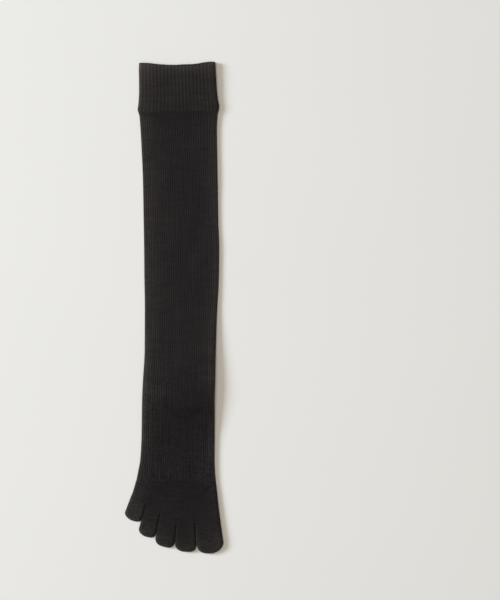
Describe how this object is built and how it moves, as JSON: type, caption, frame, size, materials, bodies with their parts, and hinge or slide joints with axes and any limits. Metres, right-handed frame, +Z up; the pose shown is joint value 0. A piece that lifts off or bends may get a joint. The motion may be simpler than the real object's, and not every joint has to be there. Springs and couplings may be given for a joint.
{
  "type": "five-toe compression sock",
  "caption": "Knee-high knitted compression sock with separate toe pockets, lying flat with its instep up; a foot and calf go in through the ribbed cuff.",
  "frame": {"origin": "middle of the sock's footprint, on the surface it lies on", "axes": "+X across the sock towards the big toe, +Y towards the cuff, +Z up, from the sole side to the instep side"},
  "size_m": [0.0984, 0.5, 0.0102],
  "materials": {
    "cuff_knit": "matt black coarse rib knit of doubled welt",
    "leg_knit": "matt black fine rib knit",
    "foot_knit": "matt black fine rib and plain knit",
    "toe_knit": "matt black plain knit, slightly fuzzy"
  },
  "bodies": {
    "root": {"cuff": "cuff_knit", "leg": "leg_knit", "foot": "foot_knit", "toe_big": "toe_knit", "toe_second": "toe_knit", "toe_third": "toe_knit", "toe_fourth": "toe_knit", "toe_little": "toe_knit"}
  },
  "joints": []
}
